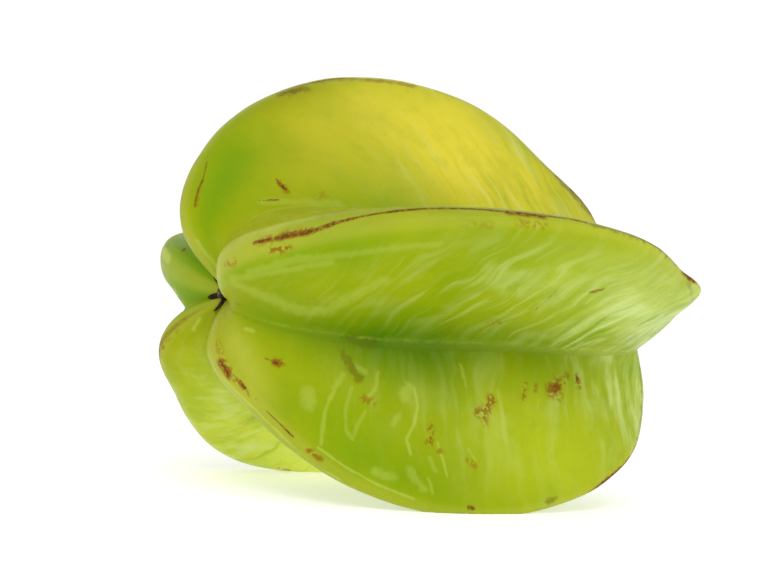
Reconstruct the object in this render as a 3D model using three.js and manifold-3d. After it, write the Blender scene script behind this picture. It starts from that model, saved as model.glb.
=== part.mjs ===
// A whole star fruit (carambola), as picked, lying on two of its five ribs.
// Millimetres, +Z up. The stem end points to -X and the blossom end to +X.
// The origin is on the surface it lies on, under the middle of the fruit.

import * as THREE from 'three';
import { mergeVertices } from 'three/addons/utils/BufferGeometryUtils.js';
import Module from 'manifold-3d';

// Driving sizes of the fruit
const axisLength = 80; // from the stem scar to the blossom end
const ribRadius = 40; // radius that the rib outlines are drawn on
const grooveRadius = 17; // deepest flesh between two ribs, at its thickest
const shoulderHalfWidth = 2.7; // half width of a crest near the stem
const middleHalfWidth = 1.7; // half width of a crest halfway along
const tipHalfWidth = 0.9; // half width of a crest at the blossom end
const crestRounding = 3.6; // depth over which a crest rounds over
const flankPower = 1.1; // above 1, a flank is a little hollow
const scarDepth = 2.6; // how far the stem scar lies inside the end of the axis

// How it lies
const restTilt = 2.1; // degrees that the blossom end dips
const contactDepth = 0.5; // how far a crest is flattened where it rests

// Dry remnants in the pit at the stem end
const jointGap = 0.3; // between two pieces that touch
const calyxRadius = 1.7; // the calyx between its lobes
const sepalReach = 3.1; // the calyx out to a lobe's tip
const sepalSpread = 17; // degrees, how wide a lobe is
const calyxThickness = 0.6;
const stubRadius = 0.9;
const stubLength = 1.2;

// Fineness of the mesh
const stations = 38; // rings between the two ends
const flankSteps = [0, 0.2, 0.4, 0.58, 0.74, 0.87, 0.95, 1]; // from groove to crest
const calyxSides = 60;
const stubSides = 20;

// A crest's outline is drawn from the middle of the axis: directions in degrees from the
// blossom end round to the stem scar, and the reach that way as a factor of the radius.
const outlineDirections = [0, 12, 23, 35, 50, 70, 97, 125, 148, 165, 180];
const scarReach = 1 - scarDepth / (axisLength / 2);

// Ribs in the order of their azimuth about the axis: 0 faces -Y and 90 faces up.
// The lean bends the crest's middle sideways, in millimetres. The groove after a rib is
// swelled by a factor, and turned off the middle of its gap by some degrees.
const ribs = [
  {
    azimuth: 22,
    lean: 0,
    swell: 1,
    turn: 0,
    reach: [1, 1.07, 1.08, 1.135, 1.08, 1.1, 1.12, 1.14, 1.16, 1.15, scarReach],
  },
  {
    azimuth: 111,
    lean: 1.8,
    swell: 1,
    turn: 0,
    reach: [1, 1.03, 1.04, 1.07, 1.05, 1.09, 1.11, 1.16, 1.2, 1.17, scarReach],
  },
  {
    azimuth: 167,
    lean: 0,
    swell: 1.15,
    turn: -2,
    reach: [1, 1.03, 1.06, 1.08, 1.1, 1.12, 1.15, 1.19, 1.19, 1.09, scarReach],
  },
  {
    azimuth: 228.5,
    lean: -0.5,
    swell: 1,
    turn: 0,
    reach: [1, 1.02, 1.04, 1.05, 1.04, 0.99, 1.03, 1.12, 1.13, 1.16, scarReach],
  },
  {
    azimuth: 309,
    lean: -0.9,
    swell: 1,
    turn: 0,
    reach: [1, 1.04, 1.04, 1.04, 1, 0.96, 0.97, 1.02, 1.05, 1.1, scarReach],
  },
];

// The groove's line, for shares of the way from the scar to the blossom end
const grooveShares = [0, 0.07, 0.15, 0.28, 0.45, 0.65, 0.82, 0.92, 0.97, 1];
const grooveAlong = [scarDepth / axisLength, 0.004, -0.004, 0.08, 0.275, 0.59, 0.82, 0.96, 1, 1];
const grooveOut = [0, 0.32, 0.59, 0.91, 1, 0.71, 0.62, 0.44, 0.2, 0];

// A smooth curve through the values at the knots.
function curveThrough(knots, values, x) {
  const last = knots.length - 1;
  const slope = (i) => {
    const a = Math.max(i - 1, 0);
    const b = Math.min(i + 1, last);
    return (values[b] - values[a]) / (knots[b] - knots[a]);
  };
  let i = 0;
  while (i < last - 1 && x > knots[i + 1]) i += 1;
  const h = knots[i + 1] - knots[i];
  const t = (x - knots[i]) / h;
  const start = values[i] * (1 + 2 * t) * (1 - t) ** 2 + slope(i) * h * t * (1 - t) ** 2;
  const end = values[i + 1] * t * t * (3 - 2 * t) + slope(i + 1) * h * t * t * (t - 1);
  return start + end;
}

// Place along the axis and radius of a rib's crest, at a share of the way.
function crestLine(rib, share) {
  const direction = 180 * (1 - share);
  const reach = curveThrough(outlineDirections, rib.reach, direction);
  const angle = THREE.MathUtils.degToRad(direction);
  return {
    along: axisLength / 2 * (1 + reach * Math.cos(angle)),
    out: ribRadius * reach * Math.sin(angle),
  };
}

function grooveLine(share, swell) {
  return {
    along: axisLength * curveThrough(grooveShares, grooveAlong, share),
    out: grooveRadius * swell * curveThrough(grooveShares, grooveOut, share),
  };
}

function crestHalfWidth(share) {
  const widths = [shoulderHalfWidth, shoulderHalfWidth, middleHalfWidth, tipHalfWidth];
  return curveThrough([0, 0.15, 0.45, 1], widths, share);
}

// Turns an azimuth and radius into a point; 0 faces -Y and 90 faces +Z.
function axisPoint(along, out, azimuth, sideways = 0) {
  const angle = THREE.MathUtils.degToRad(azimuth);
  const y = -out * Math.cos(angle) + sideways * Math.sin(angle);
  const z = out * Math.sin(angle) + sideways * Math.cos(angle);
  return new THREE.Vector3(along, y, z);
}

// The rib that the groove on that side is listed with.
function grooveOwner(index, side) {
  return side > 0 ? ribs[index] : ribs[(index + ribs.length - 1) % ribs.length];
}

// The angle between a rib and its groove on that side.
function halfGap(index, side) {
  const neighbour = ribs[(index + side + ribs.length) % ribs.length];
  const gap = (neighbour.azimuth - ribs[index].azimuth) * side;
  return ((gap + 360) % 360) / 2 + side * grooveOwner(index, side).turn;
}

// A point of the skin: side is -1 or 1, and rise goes from 0 in the groove to 1 on the crest.
function skinPoint(index, side, share, rise) {
  const rib = ribs[index];
  const crest = crestLine(rib, share);
  const groove = grooveLine(share, grooveOwner(index, side).swell);
  const half = THREE.MathUtils.degToRad(halfGap(index, side));
  const grooveReach = groove.out * Math.cos(half);
  const grooveAside = groove.out * Math.sin(half);
  const along = groove.along + (crest.along - groove.along) * rise;
  const out = grooveReach + (crest.out - grooveReach) * rise;
  const height = Math.hypot(crest.along - groove.along, crest.out - grooveReach);
  const halfWidth = Math.min(crestHalfWidth(share), grooveAside);
  const belowCrest = (1 - rise) * height;
  const corner = Math.min(belowCrest / Math.min(crestRounding, height), 1);
  const rounded = halfWidth * Math.sqrt(1 - (1 - corner) ** 2);
  const flank = (grooveAside - halfWidth) * (1 - rise) ** flankPower;
  const lean = rib.lean * rise ** 2 * Math.sin(Math.PI * share);
  return axisPoint(along, out, rib.azimuth, side * (rounded + flank) + lean);
}

function skinRing(share) {
  const ring = [];
  ribs.forEach((rib, index) => {
    flankSteps.forEach((rise) => ring.push(skinPoint(index, -1, share, rise)));
    flankSteps.slice(1, -1).reverse().forEach((rise) => ring.push(skinPoint(index, 1, share, rise)));
  });
  return ring;
}

// A closed body over rings of points, with a point at each end.
function closedLoft(startPole, rings, endPole) {
  const points = [startPole, ...rings.flat(), endPole];
  const count = rings[0].length;
  const at = (ring, j) => 1 + ring * count + (j % count);
  const faces = [];
  for (let j = 0; j < count; j += 1) {
    faces.push(0, at(0, j), at(0, j + 1));
    for (let i = 0; i < rings.length - 1; i += 1) {
      faces.push(at(i, j), at(i + 1, j), at(i, j + 1));
      faces.push(at(i + 1, j), at(i + 1, j + 1), at(i, j + 1));
    }
    faces.push(points.length - 1, at(rings.length - 1, j + 1), at(rings.length - 1, j));
  }
  const geometry = new THREE.BufferGeometry().setFromPoints(points);
  geometry.setIndex(faces);
  return geometry;
}

function fruitGeometry() {
  const rings = [];
  for (let i = 1; i < stations; i += 1) rings.push(skinRing(i / stations));
  return closedLoft(axisPoint(scarDepth, 0, 0), rings, axisPoint(axisLength, 0, 0));
}

// The pit's steepest wall, as a rise outwards for each millimetre of radius.
function pitSlope() {
  const share = 1 / stations;
  const slopes = ribs.map((rib) => {
    const crest = crestLine(rib, share);
    return (scarDepth - crest.along) / crest.out;
  });
  return Math.max(...slopes, 0);
}

// The calyx's edge: a lobe lies in each groove.
function calyxEdge(azimuth) {
  const lobes = ribs.map((rib, index) => {
    const middle = rib.azimuth + halfGap(index, 1);
    const away = Math.abs(((azimuth - middle + 540) % 360) - 180);
    return Math.exp(-((away / sepalSpread) ** 2));
  });
  return calyxRadius + (sepalReach - calyxRadius) * Math.max(...lobes);
}

// A five-lobed dish that follows the pit: rings out over its top, then back underneath.
function calyxGeometry() {
  const slope = pitSlope();
  const topShares = [0.5, 0.85];
  const underShares = [1, 0.5];
  const ring = (share, lift) => {
    const points = [];
    for (let j = 0; j < calyxSides; j += 1) {
      const azimuth = 360 * j / calyxSides;
      const out = share * calyxEdge(azimuth);
      points.push(axisPoint(scarDepth - slope * out - lift, out, azimuth));
    }
    return points;
  };
  const topLift = jointGap + calyxThickness;
  const rings = [...topShares.map((s) => ring(s, topLift)), ...underShares.map((s) => ring(s, jointGap))];
  return closedLoft(axisPoint(scarDepth - topLift, 0, 0), rings, axisPoint(scarDepth - jointGap, 0, 0));
}

// The broken-off stalk: a short stub with a domed end, standing on the calyx.
function stubGeometry() {
  const foot = jointGap + calyxThickness + jointGap + pitSlope() * stubRadius - scarDepth;
  const profile = [
    [0, foot],
    [stubRadius, foot],
    [stubRadius * 0.85, foot + stubLength * 0.5],
    [stubRadius * 0.95, foot + stubLength * 0.85],
    [stubRadius * 0.6, foot + stubLength],
    [0, foot + stubLength * 0.92],
  ];
  const points = profile.map(([radius, height]) => new THREE.Vector2(radius, height));
  return new THREE.LatheGeometry(points, stubSides).rotateZ(Math.PI / 2);
}

const wasm = await Module();
wasm.setup();

// A closed geometry as a solid that can be cut, and back again.
function toSolid(geometry) {
  const bare = new THREE.BufferGeometry();
  bare.setAttribute('position', geometry.getAttribute('position'));
  bare.setIndex(geometry.getIndex());
  const merged = mergeVertices(bare, 1e-4);
  return new wasm.Manifold(new wasm.Mesh({
    numProp: 3,
    vertProperties: Float32Array.from(merged.getAttribute('position').array),
    triVerts: Uint32Array.from(merged.getIndex().array),
  }));
}

function toGeometry(solid) {
  const mesh = solid.getMesh();
  const geometry = new THREE.BufferGeometry();
  geometry.setAttribute('position', new THREE.BufferAttribute(mesh.vertProperties, 3));
  geometry.setIndex(new THREE.BufferAttribute(mesh.triVerts, 1));
  return geometry;
}

// Flattens whatever reaches below the surface that the fruit rests on.
function cutAtFloor(geometry, placement) {
  const size = 4 * (axisLength + ribRadius);
  const below = new THREE.BoxGeometry(size, size, size).translate(0, 0, -size / 2);
  below.applyMatrix4(placement.clone().invert());
  return toGeometry(toSolid(geometry).subtract(toSolid(below)));
}

function namedMesh(name, geometry, material) {
  geometry.computeVertexNormals();
  const mesh = new THREE.Mesh(geometry, material);
  mesh.name = name;
  return mesh;
}

const skinMaterial = new THREE.MeshStandardMaterial({ color: '#a3b22c', roughness: 0.35, metalness: 0 });
const calyxMaterial = new THREE.MeshStandardMaterial({ color: '#26150d', roughness: 0.9, metalness: 0 });
const stubMaterial = new THREE.MeshStandardMaterial({ color: '#7d6558', roughness: 0.85, metalness: 0 });

// Lays the fruit down: tilted, centred over the origin, its two lowest crests on the surface.
const skin = fruitGeometry();
const lying = new THREE.Group();
lying.rotation.y = THREE.MathUtils.degToRad(restTilt);
lying.updateMatrix();
const tiltedBox = skin.clone().applyMatrix4(lying.matrix);
tiltedBox.computeBoundingBox();
const middle = tiltedBox.boundingBox.getCenter(new THREE.Vector3());
lying.position.set(-middle.x, -middle.y, -tiltedBox.boundingBox.min.z - contactDepth);
lying.updateMatrix();

lying.add(namedMesh('fruit', cutAtFloor(skin, lying.matrix), skinMaterial));
lying.add(namedMesh('calyx_remnant', calyxGeometry(), calyxMaterial));
lying.add(namedMesh('stem_stub', stubGeometry(), stubMaterial));

const starFruit = new THREE.Group();
starFruit.add(lying);

export default starFruit;
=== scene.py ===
import math

import bpy
import bmesh
import numpy as np
from mathutils import Matrix, Vector, noise


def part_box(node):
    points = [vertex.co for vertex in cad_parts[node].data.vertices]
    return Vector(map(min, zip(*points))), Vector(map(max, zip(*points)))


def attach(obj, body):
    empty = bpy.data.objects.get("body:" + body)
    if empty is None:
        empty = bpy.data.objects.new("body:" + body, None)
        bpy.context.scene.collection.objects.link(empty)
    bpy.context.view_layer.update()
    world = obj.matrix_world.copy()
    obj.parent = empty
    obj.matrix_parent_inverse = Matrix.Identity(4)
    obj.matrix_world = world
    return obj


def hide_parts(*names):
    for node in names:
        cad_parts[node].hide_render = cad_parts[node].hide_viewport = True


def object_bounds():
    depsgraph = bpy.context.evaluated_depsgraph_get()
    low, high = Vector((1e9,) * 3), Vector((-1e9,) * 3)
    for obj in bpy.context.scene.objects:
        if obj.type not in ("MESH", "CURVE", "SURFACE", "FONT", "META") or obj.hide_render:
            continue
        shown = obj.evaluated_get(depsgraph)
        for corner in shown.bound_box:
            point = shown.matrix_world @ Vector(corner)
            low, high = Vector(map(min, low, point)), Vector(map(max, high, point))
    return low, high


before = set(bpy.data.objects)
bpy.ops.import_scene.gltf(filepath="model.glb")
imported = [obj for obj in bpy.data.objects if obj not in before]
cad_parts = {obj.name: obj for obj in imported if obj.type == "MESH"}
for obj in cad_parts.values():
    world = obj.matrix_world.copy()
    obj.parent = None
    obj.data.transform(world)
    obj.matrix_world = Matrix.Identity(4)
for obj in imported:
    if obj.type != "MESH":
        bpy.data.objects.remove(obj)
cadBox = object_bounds()
print("frame loaded:", sorted(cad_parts))


# ---- small helpers for building node trees and materials

class Field:
    # a socket that sums and products can be written with; each one adds a Math node
    def __init__(self, socket):
        self.socket = socket
        self.tree = socket.id_data

    def __add__(self, other):
        return calc("ADD", self, other)

    def __sub__(self, other):
        return calc("SUBTRACT", self, other)

    def __rsub__(self, other):
        return calc("SUBTRACT", other, self)

    def __mul__(self, other):
        return calc("MULTIPLY", self, other)


def putNode(tree, kind, inputs=None, output=0, **settings):
    node = tree.nodes.new(kind)
    for name, value in settings.items():
        setattr(node, name, value)
    for name, value in (inputs or {}).items():
        if isinstance(value, Field):
            tree.links.new(value.socket, node.inputs[name])
        else:
            node.inputs[name].default_value = value
    return Field(node.outputs[output])


def link(field, socket):
    field.tree.links.new(field.socket, socket)


def calc(operation, *values, clamp=False):
    tree = next(value.tree for value in values if isinstance(value, Field))
    return putNode(tree, "ShaderNodeMath", dict(enumerate(values)), operation=operation, use_clamp=clamp)


def vectorCalc(operation, first, second, output=0):
    return putNode(first.tree, "ShaderNodeVectorMath", {0: first, 1: second}, output, operation=operation)


def scaled(vector, factor):
    return putNode(vector.tree, "ShaderNodeVectorMath", {0: vector, "Scale": factor}, operation="SCALE")


def combine(tree, *parts):
    return putNode(tree, "ShaderNodeCombineXYZ", dict(enumerate(parts)))


def between(value, low, high, toLow=0.0, toHigh=1.0):
    inputs = {"Value": value, "From Min": low, "From Max": high, "To Min": toLow, "To Max": toHigh}
    return putNode(value.tree, "ShaderNodeMapRange", inputs, interpolation_type="SMOOTHSTEP")


def mixColour(factor, first, second):
    return putNode(factor.tree, "ShaderNodeMix", {0: factor, 6: first, 7: second}, 2, data_type="RGBA")


def noiseAt(tree, scale, detail=2.0, roughness=0.5, place=None, seed=None):
    inputs = {"Scale": scale, "Detail": detail, "Roughness": roughness}
    if place is not None:
        inputs["Vector"] = place
    if seed is not None:
        inputs["W"] = seed
    return putNode(tree, "ShaderNodeTexNoise", inputs, noise_dimensions="3D" if seed is None else "4D")


def newTree(name, kind, inputs, outputs):
    tree = bpy.data.node_groups.new(name, kind)
    for socketName, socketType, default in inputs:
        socket = tree.interface.new_socket(socketName, in_out="INPUT", socket_type=socketType)
        if default is not None:
            socket.default_value = default
    for socketName, socketType in outputs:
        tree.interface.new_socket(socketName, in_out="OUTPUT", socket_type=socketType)
    given = {socket.name: Field(socket) for socket in tree.nodes.new("NodeGroupInput").outputs}
    return tree, given, tree.nodes.new("NodeGroupOutput").inputs


def sizeInputs(values, keys):
    # crestRounding in a dictionary is the input Crest Rounding of a tree
    spaced = {key: "".join(" " + letter if letter.isupper() else letter for letter in key) for key in keys}
    return {spaced[key].title(): float(values[key]) for key in keys}


def shapeTree(name, sizes):
    inputs = [("Geometry", "NodeSocketGeometry", None)]
    inputs += [(size, "NodeSocketFloat", value) for size, value in sizes.items()]
    inputs.append(("Finish", "NodeSocketMaterial", None))
    return newTree(name, "GeometryNodeTree", inputs, [("Geometry", "NodeSocketGeometry")])


def moved(tree, geometry, **inputs):
    return putNode(tree, "GeometryNodeSetPosition", {"Geometry": geometry, **inputs})


def stored(tree, geometry, name, value):
    node = putNode(tree, "GeometryNodeStoreNamedAttribute", {"Geometry": geometry, "Name": name},
                   data_type="FLOAT", domain="POINT")
    link(value, node.socket.node.inputs["Value"])
    return node


def endTree(tree, shape, given, result):
    # smooth, with no instances left and in its material
    shape = putNode(tree, "GeometryNodeSetShadeSmooth", {"Geometry": shape})
    shape = putNode(tree, "GeometryNodeRealizeInstances", {"Geometry": shape})
    shape = putNode(tree, "GeometryNodeSetMaterial", {"Geometry": shape, "Material": given["Finish"]})
    link(shape, result["Geometry"])


def grown(blank, tree, sizes, material, name):
    # the tree's shape as a plain mesh at the origin, with its node modifier gone
    modifier = blank.modifiers.new(tree.name, "NODES")
    modifier.node_group = tree
    for item in tree.interface.items_tree:
        if item.name in sizes:
            modifier[item.identifier] = sizes[item.name]
        elif item.name == "Finish":
            modifier[item.identifier] = material
    evaluated = blank.evaluated_get(bpy.context.evaluated_depsgraph_get())
    mesh = bpy.data.meshes.new_from_object(evaluated)
    bpy.data.objects.remove(blank)
    mesh.name = name
    return newObject(name, mesh)


def newObject(name, data):
    obj = bpy.data.objects.new(name, data)
    bpy.context.scene.collection.objects.link(obj)
    return obj


# ---- the fruit's shape

fruit = {
    "axisLength": 0.080,       # stem scar to blossom end
    "ribRadius": 0.040,        # radius that the rib outlines are drawn on
    "grooveRadius": 0.017,     # thickest flesh under a groove
    "shoulderHalfWidth": 0.0027,
    "middleHalfWidth": 0.0017,
    "tipHalfWidth": 0.0009,
    "crestRounding": 0.0036,
    "flankPower": 1.1,
    "scarDepth": 0.0026,       # the stem scar lies this far inside
    "restTilt": 2.1,           # degrees that the blossom end dips
    "stations": 230,           # rings of the fine mesh
    "flankSteps": 27,          # steps from a groove to a crest
    "waveDepth": 0.00042,      # swells that run from groove to crest
    "dentDepth": 0.00055,
    "poreDepth": 0.00006,
    "refineCuts": 3,           # finer mesh round the marks
    "refineMargin": 0.0006,
    "seed": 7,
}

noise.seed_set(fruit["seed"])   # the same wobble in every run

outlineDirections = [0, 12, 23, 35, 50, 70, 97, 125, 148, 165, 180]
scarReach = 1 - 2 * fruit["scarDepth"] / fruit["axisLength"]
ribs = [
    {"azimuth": 22, "lean": 0.0, "swell": 1, "turn": 0,
     "reach": [1, 1.07, 1.08, 1.135, 1.08, 1.1, 1.12, 1.14, 1.16, 1.15, scarReach]},
    {"azimuth": 111, "lean": 0.0018, "swell": 1, "turn": 0,
     "reach": [1, 1.03, 1.04, 1.07, 1.05, 1.09, 1.11, 1.16, 1.2, 1.17, scarReach]},
    {"azimuth": 167, "lean": 0.0, "swell": 1.15, "turn": -2,
     "reach": [1, 1.03, 1.06, 1.08, 1.1, 1.12, 1.15, 1.19, 1.19, 1.09, scarReach]},
    {"azimuth": 228.5, "lean": -0.0005, "swell": 1, "turn": 0,
     "reach": [1, 1.02, 1.04, 1.05, 1.04, 0.99, 1.03, 1.12, 1.13, 1.16, scarReach]},
    {"azimuth": 309, "lean": -0.0009, "swell": 1, "turn": 0,
     "reach": [1, 1.04, 1.04, 1.04, 1, 0.96, 0.97, 1.02, 1.05, 1.1, scarReach]},
]
grooveShares = [0, 0.07, 0.15, 0.28, 0.45, 0.65, 0.82, 0.92, 0.97, 1]
grooveAlong = [fruit["scarDepth"] / fruit["axisLength"], 0.004, -0.004, 0.08, 0.275, 0.59, 0.82, 0.96, 1, 1]
grooveOut = [0, 0.32, 0.59, 0.91, 1, 0.71, 0.62, 0.44, 0.2, 0]


def curveThrough(knots, values, x):
    last = len(knots) - 1

    def slope(i):
        a, b = max(i - 1, 0), min(i + 1, last)
        return (values[b] - values[a]) / (knots[b] - knots[a])

    i = 0
    while i < last - 1 and x > knots[i + 1]:
        i += 1
    h = knots[i + 1] - knots[i]
    t = (x - knots[i]) / h
    start = values[i] * (1 + 2 * t) * (1 - t) ** 2 + slope(i) * h * t * (1 - t) ** 2
    end = values[i + 1] * t * t * (3 - 2 * t) + slope(i + 1) * h * t * t * (t - 1)
    return start + end


def axisPoint(along, out, azimuth, aside=0.0):
    # 0 faces -Y and 90 faces up
    angle = math.radians(azimuth)
    y = -out * math.cos(angle) + aside * math.sin(angle)
    z = out * math.sin(angle) + aside * math.cos(angle)
    return Vector((along, y, z))


def crestLine(rib, share):
    direction = 180 * (1 - share)
    reach = curveThrough(outlineDirections, rib["reach"], direction)
    angle = math.radians(direction)
    along = fruit["axisLength"] / 2 * (1 + reach * math.cos(angle))
    return along, fruit["ribRadius"] * reach * math.sin(angle)


def grooveLine(share, swell):
    along = fruit["axisLength"] * curveThrough(grooveShares, grooveAlong, share)
    return along, fruit["grooveRadius"] * swell * curveThrough(grooveShares, grooveOut, share)


def crestHalfWidth(share):
    shoulder, middle, tip = fruit["shoulderHalfWidth"], fruit["middleHalfWidth"], fruit["tipHalfWidth"]
    return curveThrough([0, 0.15, 0.45, 1], [shoulder, shoulder, middle, tip], share)


def grooveOwner(index, side):
    return ribs[index] if side > 0 else ribs[index - 1]


def halfGap(index, side):
    neighbour = ribs[(index + side) % len(ribs)]
    gap = (neighbour["azimuth"] - ribs[index]["azimuth"]) * side % 360
    return gap / 2 + side * grooveOwner(index, side)["turn"]


def skinFrame(index, side, share):
    # what the node tree needs to draw a flank between its groove and its crest
    rib = ribs[index]
    crestAlong, crestOut = crestLine(rib, share)
    alongGroove, outGroove = grooveLine(share, grooveOwner(index, side)["swell"])
    half = math.radians(halfGap(index, side))
    return {
        "crestPoint": axisPoint(crestAlong, crestOut, rib["azimuth"]),
        "footPoint": axisPoint(alongGroove, outGroove * math.cos(half), rib["azimuth"]),
        "asideWay": axisPoint(0, 0, rib["azimuth"], 1.0),
        "footAside": max(outGroove, 0.0) * math.sin(half),
        "crestWidth": crestHalfWidth(share),
        "lean": rib["lean"] * math.sin(math.pi * share),
    }


def skinPoint(index, side, share, rise):
    place = skinFrame(index, side, share)
    height = (place["crestPoint"] - place["footPoint"]).length
    halfWidth = min(place["crestWidth"], place["footAside"])
    corner = min((1 - rise) * height / max(min(fruit["crestRounding"], height), 1e-9), 1.0)
    rounded = halfWidth * math.sqrt(1 - (1 - corner) ** 2)
    flank = (place["footAside"] - halfWidth) * (1 - rise) ** fruit["flankPower"]
    aside = side * (rounded + flank) + place["lean"] * rise ** 2
    return place["footPoint"].lerp(place["crestPoint"], rise) + place["asideWay"] * aside


print("shape rules ready")


# ---- colour of the skin, face by face, with painted shade in the grooves and some painted light; each rib has two faces

faces = {
    "frontUpper": (0, 1), "frontUnder": (0, -1), "topFront": (1, -1), "topRear": (1, 1),
    "backUpper": (2, -1), "backUnder": (2, 1), "lowBackRear": (3, -1), "lowBackFront": (3, 1),
    "lowFrontRear": (4, -1), "lowFrontFront": (4, 1),
}

skinColours = {
    "green": (149, 163, 4),
    # painted shade: the darker green laid along the bottom of each groove
    "grooveShadeGreen": (72, 116, 0),
    "freshGreen": (104, 150, 0),
    "limeGreen": (178, 190, 18),
    "olive": (160, 150, 12),
    "yellow": (234, 214, 62),
    "dullYellow": (204, 188, 58),
    "cream": (206, 206, 96),
    "paleGreen": (188, 206, 88),
    # painted reflection: the pale bluish sheen of the bright surroundings
    "mist": (206, 220, 150),
    # painted light: a bright yellow-green glow for a face that the lamps leave darker
    "paintedGlowYellow": (236, 244, 84),
}

# share and rise of the middle, how far it spreads along and up, colour, amount
# the deep green patches at rise 0 or just below are painted shade along the grooves
skinPatches = {
    "frontUpper": [
        (0.3, 0.3, 0.3, 0.6, "olive", 0.4), (0.5, 0.2, 0.15, 0.5, "freshGreen", 0.5),
        (0.12, 0.9, 0.1, 0.4, "cream", 0.5), (0.62, 0.6, 0.15, 0.4, "limeGreen", 0.8),
        (0.85, 0.5, 0.1, 0.6, "paleGreen", 0.7),
    ],
    "frontUnder": [
        (0.22, 0.8, 0.12, 0.4, "freshGreen", 0.4), (0.45, -0.05, 0.25, 0.3, "grooveShadeGreen", 1.0),
        (0.1, 0.35, 0.12, 0.3, "olive", 0.5), (0.04, 0.75, 0.07, 0.45, "cream", 0.7),
        (0.6, 0.65, 0.12, 0.35, "limeGreen", 0.6), (0.78, 0.6, 0.16, 0.5, "paleGreen", 0.85),
        # painted reflection: a pale sheen near the groove at the blossom end
        (0.92, 0.3, 0.1, 0.6, "mist", 0.45),
    ],
    "topFront": [
        (0.05, 0.4, 0.15, 0.7, "green", 0.5), (0.18, 0.6, 0.1, 0.3, "freshGreen", 0.75),
        (0.36, 0.65, 0.1, 0.35, "olive", 0.3), (0.6, 0.62, 0.22, 0.42, "yellow", 1.0),
        (0.42, 0.75, 0.08, 0.2, "yellow", 0.35), (0.33, 0.95, 0.07, 0.1, "olive", 0.7),
        (0.85, 0.7, 0.08, 0.3, "dullYellow", 0.7), (0.45, -0.05, 0.2, 0.15, "freshGreen", 0.5),
        (0.8, 0.97, 0.15, 0.07, "olive", 0.8),
    ],
    "topRear": [
        (0.55, 0.6, 0.3, 0.5, "yellow", 0.6), (0.2, 0.4, 0.15, 0.4, "freshGreen", 0.6),
        (0.5, 0.0, 0.3, 0.25, "grooveShadeGreen", 0.6),
    ],
    "backUpper": [
        (0.6, 0.7, 0.25, 0.5, "yellow", 0.6), (0.12, 0.5, 0.12, 0.7, "freshGreen", 0.8),
        (0.5, 0.0, 0.3, 0.25, "grooveShadeGreen", 0.6), (0.9, 0.5, 0.12, 0.7, "paleGreen", 0.5),
    ],
    "backUnder": [
        (0.6, 0.7, 0.25, 0.5, "limeGreen", 0.8), (0.1, 0.5, 0.12, 0.7, "freshGreen", 0.8),
        (0.5, 0.0, 0.3, 0.3, "grooveShadeGreen", 0.7), (0.9, 0.5, 0.12, 0.7, "paleGreen", 0.5),
    ],
    "lowBackRear": [
        (0.6, 0.7, 0.25, 0.5, "limeGreen", 0.8), (0.45, 0.0, 0.3, 0.3, "grooveShadeGreen", 0.7),
        (0.3, 0.9, 0.1, 0.3, "olive", 0.4), (0.9, 0.5, 0.12, 0.7, "paleGreen", 0.5),
    ],
    "lowBackFront": [
        (0.03, 0.6, 0.08, 0.6, "olive", 0.5), (0.22, 0.6, 0.1, 0.6, "limeGreen", 0.8),
        # painted light: the bright yellow-green glow over the middle of this face
        (0.45, 0.6, 0.18, 0.8, "paintedGlowYellow", 1.0), (0.8, 0.6, 0.2, 0.6, "paleGreen", 0.6),
    ],
    "lowFrontRear": [
        (0.1, 0.5, 0.1, 0.5, "cream", 0.5), (0.5, 0.5, 0.3, 0.5, "limeGreen", 0.7),
        (0.5, 0.0, 0.3, 0.25, "grooveShadeGreen", 0.6),
    ],
    "lowFrontFront": [
        (0.05, 0.4, 0.1, 0.7, "olive", 0.6), (0.14, 0.6, 0.05, 0.5, "cream", 0.35),
        (0.35, 0.75, 0.1, 0.3, "freshGreen", 0.6), (0.48, -0.05, 0.24, 0.26, "grooveShadeGreen", 1.0),
        (0.66, 0.65, 0.14, 0.4, "limeGreen", 0.9), (0.92, 0.5, 0.09, 0.8, "paleGreen", 0.8),
    ],
}

# where pale streaks show, and how they slant as they climb from groove to crest
streakSlant = {
    "frontUnder": 0.02, "topFront": 0.27, "lowFrontFront": 0.1, "lowBackFront": 0.13, "backUnder": 0.1,
    "lowBackRear": 0.1, "topRear": 0.15, "backUpper": 0.15, "lowFrontRear": 0.1, "frontUpper": 0.1,
}
streakPatches = {
    "frontUnder": [(0.8, 0.35, 0.14, 0.7, 1.3), (0.5, 0.5, 0.13, 0.35, 0.5), (0.3, 0.4, 0.1, 0.3, 0.1)],
    "topFront": [(0.74, 0.6, 0.11, 0.6, 0.5), (0.55, 0.45, 0.12, 0.3, 0.22)],
    "lowFrontFront": [(0.86, 0.5, 0.09, 0.8, 0.85), (0.6, 0.4, 0.2, 0.4, 0.2)],
    "lowBackFront": [(0.32, 0.6, 0.15, 0.6, 0.75)],
    "lowBackRear": [(0.7, 0.5, 0.3, 0.6, 0.6)],
    "backUpper": [(0.7, 0.5, 0.3, 0.6, 0.6)],
    "backUnder": [(0.7, 0.5, 0.3, 0.6, 0.6)],
    "topRear": [(0.7, 0.5, 0.3, 0.6, 0.5)],
    "lowFrontRear": [(0.7, 0.5, 0.3, 0.6, 0.5)],
    "frontUpper": [(0.72, 0.45, 0.2, 0.5, 0.8), (0.4, 0.5, 0.2, 0.4, 0.3)],
}

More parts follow.
